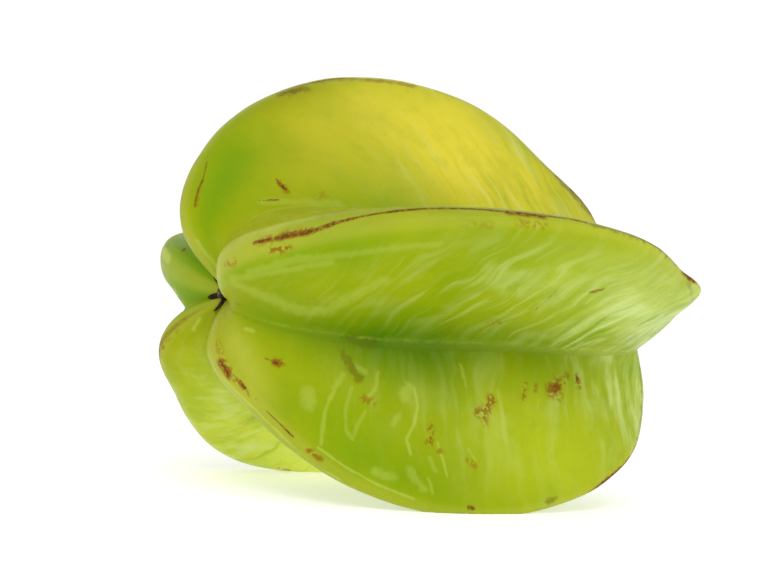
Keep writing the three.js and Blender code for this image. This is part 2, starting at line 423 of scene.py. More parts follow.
# where a crest is browned: share and half width of the brown in millimetres
crestBrown = [
    [(0, 0), (0.72, 0), (0.735, 0.3), (0.76, 0.5), (0.78, 0.1), (1, 0)],
    [
        (0, 0), (0.36, 0), (0.4, 0.2), (0.45, 0.25), (0.5, 0), (0.68, 0.05), (0.72, 0.35), (0.8, 0.45),
        (0.85, 0.2), (0.9, 0), (1, 0),
    ],
    [
        (0, 0), (0.16, 0), (0.2, 0.15), (0.26, 0), (0.44, 0), (0.5, 0.25), (0.53, 0), (0.7, 0), (0.75, 0.35),
        (0.83, 0), (1, 0),
    ],
    [
        (0, 0), (0.05, 0.1), (0.13, 0.15), (0.18, 0), (0.42, 0), (0.47, 0.3), (0.52, 0.05), (0.54, 0),
        (0.78, 0), (0.82, 0.35), (0.88, 0), (1, 0),
    ],
    [(0, 0), (0.45, 0), (0.485, 0.35), (0.5, 0), (0.68, 0), (0.72, 0.45), (0.79, 0.3), (0.92, 0.2), (1, 0)],
]


toneRules = {
    "wobbleScale": 55,        # noise that bends the edges of the patches
    "wobbleAlong": 0.05,
    "wobbleUp": 0.12,
    "edgeFade": 0.12,         # how far a face's colours run into the next face
    "mostStreak": 1.3,
}
faceAt = {place: name for name, place in faces.items()}


def colour(red, green, blue):
    def linear(part):
        part = part / 255
        return part / 12.92 if part <= 0.04045 else ((part + 0.055) / 1.055) ** 2.4
    return (linear(red), linear(green), linear(blue), 1.0)


def skinColour(name):
    return Vector(colour(*skinColours[name])[:3])


def softMask(patch, share, rise):
    atShare, atRise, along, up = patch[:4]
    return math.exp(-((share - atShare) / along) ** 2 - ((rise - atRise) / up) ** 2)


def faceTone(name, share, rise, wobble):
    share += wobble[0] * toneRules["wobbleAlong"]
    rise += wobble[1] * toneRules["wobbleUp"]
    tone = skinColour("green")
    for patch in skinPatches[name]:
        tone = tone.lerp(skinColour(patch[4]), patch[5] * softMask(patch, share, rise))
    streak = sum(patch[4] * softMask(patch, share, rise) for patch in streakPatches[name])
    return tone, min(streak, toneRules["mostStreak"])


def skinTone(index, side, share, rise, point):
    # near an edge, fade into the face on the other side of it
    wobble = noise.noise_vector(point * toneRules["wobbleScale"])
    tone, streak = faceTone(faceAt[(index, side)], share, rise, wobble)
    besides = [((index, -side), 1 - rise), (((index + side) % len(ribs), -side), rise)]
    for other, distance in besides:
        if distance < toneRules["edgeFade"]:
            part = 0.5 * (1 - distance / toneRules["edgeFade"]) ** 2
            otherTone, otherStreak = faceTone(faceAt[other], share, rise, wobble)
            tone = tone.lerp(otherTone, part)
            streak += (otherStreak - streak) * part
    return tone, streak


def brownWidth(index, share):
    knots, widths = zip(*crestBrown[index])
    i = max(k for k in range(len(knots) - 1) if share >= knots[k])
    t = (share - knots[i]) / (knots[i + 1] - knots[i])
    return 0.001 * (widths[i] + (widths[i + 1] - widths[i]) * t)


# each stroke: radius in millimetres, strength, then its line as share and rise
marks = {
    "brown": {
        "frontUpper": [
            (0.42, 1.0, [(0.141, 0.985), (0.15, 0.99), (0.162, 0.993)]),
            (0.6, 1.0, [(0.168, 0.994), (0.184, 0.996), (0.198, 0.998), (0.21, 0.998)]),
            (0.5, 1.0, [(0.21, 0.999), (0.222, 0.994), (0.234, 0.988)]),
            (0.4, 1.0, [(0.234, 0.988), (0.245, 0.984), (0.258, 0.977)]),
            (0.3, 1.0, [(0.258, 0.977), (0.28, 0.968), (0.295, 0.962)]),
            (0.45, 1.0, [(0.295, 0.962), (0.31, 0.958), (0.33, 0.955), (0.35, 0.957), (0.37, 0.962)]),
            (0.45, 1.0, [(0.37, 0.962), (0.4, 0.972), (0.42, 0.98)]),
            (0.75, 1.0, [(0.42, 0.982), (0.44, 0.988), (0.46, 0.99)]),
            (0.38, 1.0, [(0.46, 0.988), (0.49, 0.988), (0.515, 0.99)]),
            (0.36, 0.7, [(0.6, 0.993), (0.64, 0.994), (0.69, 0.996)]),
            (0.35, 0.8, [(0.44, 0.45), (0.447, 0.41)]),
        ],
        "topFront": [
            (0.9, 0.45, [(0.311, 0.945), (0.328, 0.94)]),
            (0.25, 0.8, [(0.35, 0.97), (0.375, 0.975), (0.4, 0.976)]),
            (0.15, 0.6, [(0.4, 0.976), (0.45, 0.966), (0.48, 0.966)]),
            (0.13, 0.6, [(0.53, 0.972), (0.57, 0.973), (0.6, 0.974)]),
            (0.2, 0.9, [(0.709, 0.967), (0.73, 0.961), (0.75, 0.963)]),
            (0.42, 1.0, [(0.767, 0.965), (0.787, 0.968), (0.81, 0.955)]),
            (0.16, 0.7, [(0.162, 0.88), (0.156, 0.855), (0.141, 0.8)]),
            (0.26, 0.9, [(0.141, 0.8), (0.124, 0.808), (0.104, 0.805)]),
            (0.22, 0.9, [(0.282, 0.25), (0.286, 0.22)]), (0.5, 1.0, [(0.288, 0.205), (0.298, 0.155)]),
            (0.14, 0.8, [(0.24, 0.13), (0.256, 0.103)]), (0.24, 0.9, [(0.258, 0.1), (0.283, 0.078)]),
        ],
        "lowFrontFront": [
            (0.18, 0.8, [(0.203, 0.403), (0.22, 0.38)]), (0.6, 1.0, [(0.222, 0.382), (0.233, 0.367)]),
            (0.85, 1.0, [(0.106, 0.985), (0.113, 0.985), (0.122, 0.99)]),
            (0.2, 0.8, [(0.128, 0.96), (0.137, 0.963)]), (0.42, 1.0, [(0.139, 0.965), (0.147, 0.972)]),
            (0.16, 0.8, [(0.183, 0.985), (0.206, 0.984)]), (0.26, 1.0, [(0.206, 0.984), (0.226, 0.987)]),
            (0.85, 0.9, [(0.707, 0.315), (0.716, 0.3)]), (0.35, 0.8, [(0.761, 0.285), (0.765, 0.25)]),
            (0.4, 1.0, [(0.48, 0.965), (0.487, 0.97)]),
        ],
        "frontUnder": [
            (0.3, 0.7, [(0.642, 0.6), (0.648, 0.635)]), (0.14, 0.9, [(0.14, 0.147), (0.141, 0.147)]),
            (0.14, 0.9, [(0.149, 0.137), (0.15, 0.137)]),
        ],
        "backUpper": [
            (0.35, 0.8, [(0.13, 0.5), (0.136, 0.47)]), (0.16, 0.7, [(0.62, 0.35), (0.66, 0.34)]),
        ],
        "backUnder": [
            (0.45, 0.9, [(0.452, 0.5), (0.457, 0.54)]),
        ],
        "lowBackRear": [
            (0.4, 0.8, [(0.51, 0.61), (0.512, 0.66)]),
        ],
        "topRear": [
            (0.5, 0.9, [(0.61, 0.49), (0.614, 0.44)]), (0.2, 0.8, [(0.24, 0.93), (0.29, 0.95)]),
        ],
    },
    "reddish": {
        "frontUpper": [
            (0.95, 0.8, [(0.15, 0.99), (0.175, 0.99), (0.205, 0.995)]),
            (1.0, 0.7, [(0.435, 0.47), (0.45, 0.39)]), (0.8, 0.6, [(0.62, 0.6), (0.626, 0.55)]),
            (0.5, 0.5, [(0.25, 0.7), (0.29, 0.66)]),
        ],
        "frontUnder": [
            (0.8, 0.9, [(0.163, 0.975), (0.183, 0.972)]), (0.8, 0.6, [(0.098, 0.985), (0.112, 0.975)]),
            (0.7, 0.3, [(0.37, 0.985), (0.4, 0.98)]), (0.8, 0.5, [(0.43, 0.993), (0.46, 0.987)]),
            (0.8, 0.9, [(0.642, 0.6), (0.648, 0.64)]),
            (0.3, 0.5, [(0.608, 0.351), (0.598, 0.464), (0.586, 0.567)]),
            (0.9, 0.5, [(0.57, 0.22), (0.59, 0.2)]),
        ],
        "lowFrontFront": [
            (1.7, 0.9, [(0.7, 0.33), (0.722, 0.285)]), (0.9, 0.7, [(0.735, 0.265), (0.747, 0.225)]),
            (0.9, 0.6, [(0.705, 0.37), (0.712, 0.4)]), (0.8, 0.9, [(0.758, 0.315), (0.766, 0.24)]),
            (0.6, 0.8, [(0.645, 0.355), (0.66, 0.27)]), (0.6, 0.6, [(0.672, 0.31), (0.677, 0.28)]),
            (1.2, 0.9, [(0.558, 0.43), (0.576, 0.4)]), (1.1, 0.9, [(0.576, 0.39), (0.59, 0.345)]),
            (1.0, 0.8, [(0.562, 0.475), (0.566, 0.44)]), (0.85, 0.9, [(0.472, 0.51), (0.459, 0.609)]),
            (0.8, 0.6, [(0.51, 0.7), (0.516, 0.73)]), (0.6, 0.7, [(0.468, 0.645), (0.472, 0.65)]),
            (1.1, 0.9, [(0.108, 0.96), (0.126, 0.975)]), (0.6, 0.7, [(0.126, 0.985), (0.165, 0.985)]),
            (1.0, 0.8, [(0.226, 0.372), (0.236, 0.362)]), (0.7, 0.9, [(0.25, 0.99), (0.268, 0.988)]),
            (1.0, 0.6, [(0.378, 0.4), (0.39, 0.41)]), (0.8, 0.5, [(0.09, 0.88), (0.105, 0.93)]),
        ],
        "topFront": [
            (0.85, 0.7, [(0.288, 0.22), (0.3, 0.14)]), (0.6, 0.5, [(0.122, 0.79), (0.106, 0.79)]),
            (0.7, 0.5, [(0.43, 0.955), (0.5, 0.96)]), (1.0, 0.35, [(0.375, 0.1), (0.36, 0.07)]),
        ],
        "lowBackFront": [
            (0.4, 0.8, [(0.06, 0.93), (0.09, 0.98), (0.13, 0.96)]), (0.6, 0.7, [(0.4, 0.9), (0.42, 0.92)]),
        ],
        "backUpper": [
            (0.5, 0.7, [(0.15, 0.9), (0.16, 0.93)]), (0.8, 0.7, [(0.126, 0.52), (0.14, 0.45)]),
            (0.9, 0.6, [(0.45, 0.62), (0.455, 0.56)]),
        ],
        "backUnder": [
            (1.2, 0.7, [(0.71, 0.6), (0.72, 0.53)]), (1.3, 0.8, [(0.445, 0.49), (0.462, 0.55)]),
            (0.8, 0.6, [(0.49, 0.44), (0.492, 0.4)]),
        ],
        "topRear": [
            (1.1, 0.6, [(0.33, 0.7), (0.338, 0.63)]), (1.2, 0.8, [(0.602, 0.52), (0.616, 0.45)]),
            (0.7, 0.6, [(0.645, 0.47), (0.65, 0.44)]),
        ],
        "lowBackRear": [
            (1.3, 0.8, [(0.5, 0.6), (0.516, 0.68)]), (0.7, 0.6, [(0.545, 0.55), (0.55, 0.5)]),
            (0.7, 0.7, [(0.2, 0.9), (0.235, 0.94)]),
        ],
    },
    "olive": {
        "lowFrontFront": [
            (0.75, 0.8, [(0.37, 0.13), (0.376, 0.2)]), (0.85, 0.9, [(0.376, 0.2), (0.383, 0.27)]),
            (1.1, 0.5, [(0.4, 0.03), (0.43, 0.03)]), (0.6, 0.9, [(0.611, 0.97), (0.625, 0.972)]),
            (0.35, 0.8, [(0.82, 0.965), (0.86, 0.95), (0.9, 0.82), (0.925, 0.5)]),
        ],
        "topFront": [
            (1.3, 0.9, [(0.305, 0.95), (0.335, 0.945)]),
            (0.8, 0.7, [(0.33, 0.97), (0.4, 0.972), (0.5, 0.965)]),
            (1.0, 0.9, [(0.74, 0.955), (0.77, 0.94), (0.81, 0.93)]),
        ],
        "frontUpper": [
            (0.6, 0.9, [(0.52, 0.992), (0.56, 0.992), (0.6, 0.993), (0.65, 0.995), (0.7, 0.996)]),
        ],
        "frontUnder": [
            (0.3, 0.6, [(0.757, 0.975), (0.81, 0.93), (0.87, 0.88)]),
        ],
        "lowBackRear": [
            (1.5, 0.6, [(0.3, 0.3), (0.33, 0.4)]),
        ],
        "backUpper": [
            (1.4, 0.6, [(0.3, 0.3), (0.36, 0.3)]),
        ],
    },
    # painted highlights: pale strokes laid where light glints off the wavy skin
    "wax": {
        "lowFrontFront": [
            (0.36, 0.55, [(0.352, 0.286), (0.317, 0.459), (0.298, 0.587), (0.277, 0.807), (0.27, 0.9)]),
            (0.6, 0.4, [(0.356, 0.27), (0.33, 0.38)]), (1.3, 0.5, [(0.274, 0.517), (0.27, 0.6)]),
            (0.36, 0.4, [(0.363, 0.34), (0.336, 0.52), (0.325, 0.664), (0.331, 0.714),
                         (0.35, 0.587), (0.372, 0.479)]),
            (0.5, 0.45, [(0.386, 0.19), (0.398, 0.22)]),
            (0.48, 0.55, [(0.42, 0.21), (0.406, 0.305), (0.386, 0.382)]),
            (1.15, 0.6, [(0.448, 0.344), (0.462, 0.282)]),
            (0.36, 0.7, [(0.471, 0.29), (0.465, 0.39), (0.446, 0.502), (0.423, 0.606), (0.42, 0.695)]),
            (0.6, 0.4, [(0.427, 0.456), (0.41, 0.525)]),
            (0.8, 0.45, [(0.407, 0.8), (0.409, 0.842), (0.418, 0.9)]),
            (0.3, 0.6, [(0.472, 0.6), (0.468, 0.718), (0.464, 0.795)]),
            (0.45, 0.4, [(0.449, 0.7), (0.449, 0.776)]), (0.3, 0.5, [(0.432, 0.83), (0.43, 0.915)]),
            (0.32, 0.5, [(0.517, 0.633), (0.519, 0.69)]), (0.9, 0.45, [(0.348, 0.89), (0.375, 0.885)]),
            (0.25, 0.7, [(0.264, 0.938), (0.304, 0.95), (0.353, 0.96), (0.4, 0.97)]),
            (0.45, 0.5, [(0.563, 0.14), (0.557, 0.266)]), (0.45, 0.4, [(0.605, 0.3), (0.585, 0.6)]),
            (0.35, 0.6, [(0.17, 0.18), (0.19, 0.16)]),
        ],
        "lowBackFront": [
            (0.45, 0.7, [(0.055, 0.66), (0.042, 0.74)]),
        ],
        "lowFrontRear": [
            (0.5, 0.8, [(0.027, 0.5), (0.05, 0.4), (0.07, 0.75), (0.09, 0.93)]),
            (0.35, 0.8, [(0.12, 0.985), (0.16, 0.99), (0.22, 0.992), (0.3, 0.993)]),
        ],
        "frontUnder": [
            (0.9, 0.9, [(0.062, 0.67), (0.053, 0.88), (0.054, 0.99)]),
            (0.8, 0.4, [(0.11, 0.79), (0.16, 0.73), (0.216, 0.72), (0.251, 0.74)]),
            (1.2, 0.4, [(0.12, 0.62), (0.21, 0.28), (0.276, 0.172), (0.32, 0.2), (0.35, 0.5)]),
            (0.9, 0.35, [(0.14, 0.8), (0.2, 0.86), (0.3, 0.84), (0.36, 0.86)]),
        ],
        "frontUpper": [
            (0.7, 0.7, [(0.056, 0.99), (0.07, 0.9), (0.085, 0.7)]),
            (1.0, 0.4, [(0.13, 0.82), (0.17, 0.86), (0.22, 0.88)]),
        ],
        "backUnder": [
            (0.7, 0.5, [(0.12, 0.55), (0.13, 0.35)]),
        ],
        "topFront": [
            (0.5, 0.5, [(0.02, 0.3), (0.04, 0.6), (0.06, 0.9)]),
            (0.9, 0.35, [(0.25, 0.1), (0.32, 0.04), (0.4, 0.03)]),
        ],
        "backUpper": [
            (1.1, 1.0, [(0.24, 0.9), (0.2, 0.94), (0.16, 0.97), (0.12, 0.99)]),
        ],
    },
}


def markLines(kind):
    # every stroke's ends as places in the fruit, with its radius and strength
    lines = []
    for face, strokes in marks[kind].items():
        index, side = faces[face]
        for radius, strength, line in strokes:
            points = [skinPoint(index, side, share, rise) for share, rise in line]
            lines += [(a, b, radius * 0.001, strength) for a, b in zip(points, points[1:])]
    return lines


def strokeDistance(places, start, end):
    stroke = np.array(end - start)
    fromStart = places - np.array(start)
    along = np.clip(fromStart @ stroke / max(stroke @ stroke, 1e-12), 0, 1)
    return np.linalg.norm(fromStart - along[:, None] * stroke, axis=1)


def meshPlaces(mesh):
    places = np.empty(len(mesh.vertices) * 3)
    mesh.vertices.foreach_get("co", places)
    return places.reshape(-1, 3)


def refineAtMarks(mesh):
    # more vertices where a mark is, so that thin ones stay sharp
    places = meshPlaces(mesh)
    grid = bmesh.new()
    grid.from_mesh(mesh)
    near = np.zeros(len(places), dtype=bool)
    for kind in marks:
        for start, end, radius, strength in markLines(kind):
            near |= strokeDistance(places, start, end) < radius + fruit["refineMargin"]
    edges = {edge for face in grid.faces if any(near[v.index] for v in face.verts) for edge in face.edges}
    bmesh.ops.subdivide_edges(grid, edges=list(edges), cuts=fruit["refineCuts"], use_grid_fill=True)
    grid.to_mesh(mesh)
    grid.free()


def storeMarks(mesh):
    # how far each vertex is from the nearest mark of a kind, in radii of that mark
    places = meshPlaces(mesh)
    for kind in marks:
        far = np.full(len(places), 4.0)
        strength = np.zeros(len(places))
        for start, end, radius, power in markLines(kind):
            distance = strokeDistance(places, start, end) / radius
            closer = distance < far
            far[closer] = distance[closer]
            strength[closer] = power
        mesh.attributes.new(kind + "Far", "FLOAT", "POINT").data.foreach_set("value", far)
        mesh.attributes.new(kind + "Strength", "FLOAT", "POINT").data.foreach_set("value", strength)


def ribGrid():
    # the fruit's surface as rings of loose places, still to be drawn by the node tree
    count = fruit["flankSteps"]
    rises = [1 - (1 - k / count) ** 1.5 for k in range(count + 1)]
    spots = []
    for index in range(len(ribs)):
        spots += [(index, -1, rise) for rise in rises]
        spots += [(index, 1, rise) for rise in reversed(rises[1:-1])]
    stations = fruit["stations"]
    rows = [[(spots[0], 0.0)]]
    rows += [[(spot, i / stations) for spot in spots] for i in range(1, stations)]
    rows.append([(spots[0], 1.0)])
    mesh = bpy.data.meshes.new("ribGrid")
    ring = len(spots)
    last = 1 + (stations - 1) * ring
    polygons = []
    for j in range(ring):
        k = (j + 1) % ring
        polygons.append((0, 1 + j, 1 + k))
        for i in range(stations - 2):
            a, b = 1 + i * ring, 1 + (i + 1) * ring
            polygons.append((a + j, b + j, b + k, a + k))
        base = 1 + (stations - 2) * ring
        polygons.append((last, base + k, base + j))
    flat = [item for row in rows for item in row]
    mesh.from_pydata([(0, 0, 0)] * len(flat), [], polygons)
    numbers = {name: [] for name in ("share", "rise", "face", "streakShare", "streakAmount", "brownWidth",
                                     "footAside", "crestWidth", "lean")}
    vectors = {"crestPoint": [], "footPoint": [], "asideWay": []}
    tones = []
    for (index, side, rise), share in flat:
        place = skinFrame(index, side, share)
        for name in vectors:
            vectors[name] += list(place[name] * (side if name == "asideWay" else 1))
        tone, streak = skinTone(index, side, share, rise, skinPoint(index, side, share, rise))
        tones += [*tone, 1.0]
        slant = streakSlant[faceAt[(index, side)]]
        row = (share, rise, index * 2 + (side > 0), share + slant * rise, streak, brownWidth(index, share),
               place["footAside"], place["crestWidth"], place["lean"] * side)
        for values, value in zip(numbers.values(), row):
            values.append(value)
    for name, data in numbers.items():
        mesh.attributes.new(name, "FLOAT", "POINT").data.foreach_set("value", data)
    for name, data in vectors.items():
        mesh.attributes.new(name, "FLOAT_VECTOR", "POINT").data.foreach_set("vector", data)
    mesh.attributes.new("tone", "FLOAT_COLOR", "POINT").data.foreach_set("color", tones)
    return newObject("ribGrid", mesh)


def named(tree, name, kind="FLOAT"):
    return putNode(tree, "GeometryNodeInputNamedAttribute", {"Name": name}, data_type=kind)


skinRelief = {
    "waveBend": 60.0,          # noise that bends the swells
    "waveSlant": 0.06,
    "waveLines": 13.0,         # swells from end to end
    "waveLength": 1.6,
    "dentScale": 75.0,
    "poreScale": 900.0,
}
skinSizes = sizeInputs(fruit, ("crestRounding", "flankPower", "waveDepth", "dentDepth", "poreDepth", "seed"))


def ribbedSkinTree():
    tree, given, result = shapeTree("ribbedSkin", skinSizes)
    rise, share, face = (named(tree, name) for name in ("rise", "share", "face"))
    footAside = named(tree, "footAside")
    crest, foot = named(tree, "crestPoint", "FLOAT_VECTOR"), named(tree, "footPoint", "FLOAT_VECTOR")
    aside = named(tree, "asideWay", "FLOAT_VECTOR")
    fall = 1.0 - rise
    height = vectorCalc("DISTANCE", crest, foot, output=1)
    halfWidth = calc("MINIMUM", named(tree, "crestWidth"), footAside)
    below = fall * height
    depth = calc("MAXIMUM", calc("MINIMUM", given["Crest Rounding"], height), 1e-9)
    corner = calc("MINIMUM", calc("DIVIDE", below, depth), 1.0)
    rounded = halfWidth * calc("SQRT", 1.0 - calc("POWER", 1.0 - corner, 2.0))
    flank = (footAside - halfWidth) * calc("POWER", fall, given["Flank Power"])
    out = rounded + flank + named(tree, "lean") * calc("POWER", rise, 2.0)
    climb = putNode(tree, "ShaderNodeMix", {0: rise, 4: foot, 5: crest}, 1, data_type="VECTOR")
    shape = moved(tree, given["Geometry"], Position=vectorCalc("ADD", climb, scaled(aside, out)))
    shape = stored(tree, shape, "belowCrest", below)

    # swells from groove to crest: noise that is long up the flank and short along the axis
    slant = share + (rise + noiseAt(tree, skinRelief["waveBend"], 1.0)) * skinRelief["waveSlant"]
    across = combine(tree, slant * skinRelief["waveLines"], rise * skinRelief["waveLength"], face * 3.7)
    swell = noiseAt(tree, 1.0, 2.0, 0.45, across, given["Seed"])
    inside = between(rise, 0.0, 0.25) * between(below, 0.0, 0.005)
    ends = between(share, 0.03, 0.2) * between(share, 1.0, 0.85)
    wave = (swell - 0.5) * given["Wave Depth"] * inside
    dent = (noiseAt(tree, skinRelief["dentScale"], 1.5, seed=given["Seed"]) - 0.5) * given["Dent Depth"]
    pore = (noiseAt(tree, skinRelief["poreScale"], 1.0, seed=given["Seed"]) - 0.5) * given["Pore Depth"]
    push = (wave + dent + pore) * ends
    shape = moved(tree, shape, Offset=scaled(putNode(tree, "GeometryNodeInputNormal"), push))
    endTree(tree, shape, given, result)
    return tree


def restingPlace():
    # tilt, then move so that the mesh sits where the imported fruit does
    tilt = Matrix.Rotation(math.radians(fruit["restTilt"]), 4, "Y")
    low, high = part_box("fruit")
    points = [tilt @ skinPoint(i, side, share / 80, rise) for i in range(len(ribs)) for side in (-1, 1)
              for share in range(81) for rise in (0.9, 1.0)]
    top = max(p.z for p in points)
    middleX = (max(p.x for p in points) + min(p.x for p in points)) / 2
    middleY = (max(p.y for p in points) + min(p.y for p in points)) / 2
    shift = Vector(((low.x + high.x) / 2 - middleX, (low.y + high.y) / 2 - middleY, high.z - top))
    return Matrix.Translation(shift) @ tilt


laidDown = restingPlace()


# ---- blemishes, painted highlights and the skin material

markColours = {
    "brown": (138, 70, 18), "dark": (88, 42, 16), "reddish": (142, 78, 4), "olive": (104, 92, 8),
    # the three colours on the next line are painted highlights: pale glint strokes, a glint line in the
    # grooves and a pale rim of light on the crests
    "wax": (196, 210, 96), "paintedGrooveGlint": (168, 190, 50), "rim": (206, 198, 84),
    "streakPale": (208, 224, 142), "streakDeep": (116, 152, 4),
}

skinFinish = {
    "subsurface": 0.15,
    "subsurfaceDepth": 0.0012,
    "subsurfaceTint": (1.0, 0.9, 0.25),
    "ior": 1.45,
    "specular": 0.08,
    "bumpStrength": 0.5,
    "bumpDepth": 0.00025,
    # lines over the fruit's length, length up a flank, how pale and how deep
    "marbling": (17.0, 2.6, 0.65, 0.5),
    "streaks": (62.0, 2.2, 0.7, 0.55),
    # cover also sets how strong the painted highlights are: the glint strokes, the groove glint line and the
    # crest rim light
    "cover": {"wax": 0.5, "olive": 0.6, "reddish": 0.85, "brown": 0.9, "paintedGrooveGlint": 0.35, "rim": 0.2},
    "raggedness": {"wax": 1.8, "olive": 4.0, "reddish": 2.2, "brown": 1.8},
    "grain": {"wander": 70.0, "broad": 60.0, "mottle": 260.0, "ragged": 700.0, "dots": 1400.0,
              "speckle": 1900.0},
}


def raggedMarkGroup():
    # a mark with a ragged edge: 1 inside, 0 outside
    tree, given, result = newTree(
        "raggedMark", "ShaderNodeTree",
        [("Distance", "NodeSocketFloat", 1.0), ("Strength", "NodeSocketFloat", 1.0),
         ("Ragged Noise", "NodeSocketFloat", 0.5), ("Raggedness", "NodeSocketFloat", 1.6)],
        [("Mask", "NodeSocketFloat")])
    far = given["Distance"] + (given["Ragged Noise"] - 0.5) * given["Raggedness"]
    link(between(far, 1.3, 0.3) * given["Strength"], result["Mask"])


def veinStreaksGroup():
    # fine lines that run from groove to crest, wandering a little
    tree, given, result = newTree(
        "veinStreaks", "ShaderNodeTree",
        [("Streak Share", "NodeSocketFloat", 0.5), ("Rise", "NodeSocketFloat", 0.5),
         ("Face", "NodeSocketFloat", 0.0), ("Wander", "NodeSocketFloat", 0.5),
         ("Lines", "NodeSocketFloat", 60.0), ("Length", "NodeSocketFloat", 3.0)],
        [("Streak", "NodeSocketFloat")])
    slant = given["Streak Share"] + (given["Wander"] - 0.5) * 0.07
    place = combine(tree, slant * given["Lines"], given["Rise"] * given["Length"], given["Face"] * 5.3)
    link(noiseAt(tree, 1.0, 2.5, 0.55, place), result["Streak"])


def newMaterial(name):
    material = bpy.data.materials.new(name)
    material.use_nodes = True
    tree = material.node_tree
    tree.nodes.clear()
    surface = tree.nodes.new("ShaderNodeBsdfPrincipled")
    output = tree.nodes.new("ShaderNodeOutputMaterial")
    tree.links.new(surface.outputs[0], output.inputs[0])
    return material, tree, surface.inputs


def attribute(tree, name, output="Fac"):
    return putNode(tree, "ShaderNodeAttribute", None, output, attribute_name=name)


def fromGroup(tree, name, inputs):
    return putNode(tree, "ShaderNodeGroup", inputs, node_tree=bpy.data.node_groups[name])


def markMask(tree, kind, ragged):
    return fromGroup(tree, "raggedMark", {
        "Distance": attribute(tree, kind + "Far"), "Strength": attribute(tree, kind + "Strength"),
        "Ragged Noise": ragged, "Raggedness": skinFinish["raggedness"][kind]})


def streakLayer(tree, wander, lines, length):
    return fromGroup(tree, "veinStreaks", {
        "Streak Share": attribute(tree, "streakShare"), "Rise": attribute(tree, "rise"),
        "Face": attribute(tree, "face"), "Wander": wander, "Lines": lines, "Length": length})


def skinMaterial():
    material, tree, surface = newMaterial("waxySkin")
    place = putNode(tree, "ShaderNodeTexCoord", None, "Object")
    share, rise = attribute(tree, "share"), attribute(tree, "rise")
    below = attribute(tree, "belowCrest")
    grain, cover = skinFinish["grain"], skinFinish["cover"]
    wander = noiseAt(tree, grain["wander"], 2.0, place=place)
    broad = noiseAt(tree, grain["broad"], 4.0, 0.55, place)
    mottle = noiseAt(tree, grain["mottle"], 3.0, 0.6, place)
    ragged = noiseAt(tree, grain["ragged"], 3.0, 0.6, place)
    speckle = noiseAt(tree, grain["speckle"], 2.0, 0.6, place)
    dots = between(noiseAt(tree, grain["dots"], 1.0, place=place), 0.44, 0.54)
    frayed = ragged * 0.7 + speckle * 0.3
    paint = {name: colour(*value) for name, value in {**skinColours, **markColours}.items()}

    base = attribute(tree, "tone", "Color")
    base = mixColour(between(broad, 0.35, 0.75, 0.0, 0.2), base, paint["limeGreen"])
    base = mixColour(between(broad, 0.62, 0.25, 0.0, 0.25), base, paint["freshGreen"])
    base = mixColour(between(mottle, 0.45, 0.8, 0.0, 0.22), base, paint["streakDeep"])

    amount = attribute(tree, "streakAmount")
    for lines, length, pale, deep in (skinFinish["marbling"], skinFinish["streaks"]):
        streaks = streakLayer(tree, wander, lines, length)
        deepStreak = calc("MULTIPLY", between(streaks, 0.48, 0.30) * amount, deep, clamp=True)
        paleStreak = calc("MULTIPLY", between(streaks, 0.49, 0.70) * amount, pale, clamp=True)
        base = mixColour(deepStreak, base, paint["streakDeep"])
        base = mixColour(paleStreak, base, paint["streakPale"])

    # painted highlights: a pale glint line along the bottom of a groove, and a pale rim of light along a
    # crest
    paintedGrooveGlint = between(rise, 0.022, 0.0) * between(ragged, 0.25, 0.7) * between(share, 0.15, 0.25)
    base = mixColour(paintedGrooveGlint * cover["paintedGrooveGlint"], base, paint["paintedGrooveGlint"])
    base = mixColour(between(below, 0.0014, 0.0) * cover["rim"], base, paint["rim"])

    # painted highlights: the pale glint strokes
    base = mixColour(markMask(tree, "wax", ragged) * cover["wax"], base, paint["wax"])
    base = mixColour(markMask(tree, "olive", ragged) * cover["olive"], base, paint["olive"])
    base = mixColour(markMask(tree, "reddish", frayed) * dots * cover["reddish"], base, paint["reddish"])

    # brown along the crests, with a reddish fringe, and the brown marks
    width = attribute(tree, "brownWidth")
    edge = width * (frayed * 2.4 - 0.2) - below
    fringe = between(edge, -0.0010, 0.0002, 0.0, 0.55) * between(width, 0.0002, 0.0009)
    base = mixColour(fringe * dots, base, paint["reddish"])
    crestMask = between(edge, -0.00010, 0.00030) * between(width, 0.00003, 0.0001)
    spots = markMask(tree, "brown", frayed) * between(speckle, 0.36, 0.52, 0.6, 1.0)
    dark = calc("MAXIMUM", crestMask, spots)
    brown = mixColour(between(speckle, 0.42, 0.6), paint["brown"], paint["dark"])
    link(mixColour(dark * cover["brown"], base, brown), surface["Base Color"])

    link(between(mottle, 0.3, 0.7, 0.26, 0.40) + dark * 0.3, surface["Roughness"])
    height = streaks * 0.5 + mottle * 0.3 + dark * frayed * 0.9
    bump = putNode(tree, "ShaderNodeBump", {"Height": height, "Strength": skinFinish["bumpStrength"],
                                            "Distance": skinFinish["bumpDepth"]})
    link(bump, surface["Normal"])
    surface["IOR"].default_value = skinFinish["ior"]
    surface["Specular IOR Level"].default_value = skinFinish["specular"]
    surface["Subsurface Weight"].default_value = skinFinish["subsurface"]
    surface["Subsurface Radius"].default_value = skinFinish["subsurfaceTint"]
    surface["Subsurface Scale"].default_value = skinFinish["subsurfaceDepth"]
    return material


def buildFruit():
    piece = grown(ribGrid(), ribbedSkinTree(), skinSizes, skinMaterial(), "starFruitSkin")
    for name in ("crestPoint", "footPoint", "asideWay", "footAside", "crestWidth", "lean"):
        piece.data.attributes.remove(piece.data.attributes[name])
    refineAtMarks(piece.data)
    storeMarks(piece.data)
    piece.data.transform(laidDown)
    for vertex in piece.data.vertices:
        vertex.co.z = max(vertex.co.z, 0.0)   # flat where it rests
    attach(piece, "root")
    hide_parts("fruit")
    print("fruit:", len(piece.data.vertices), "vertices")


raggedMarkGroup()
veinStreaksGroup()
buildFruit()


# ---- dry calyx and stalk stub in the pit at the stem end

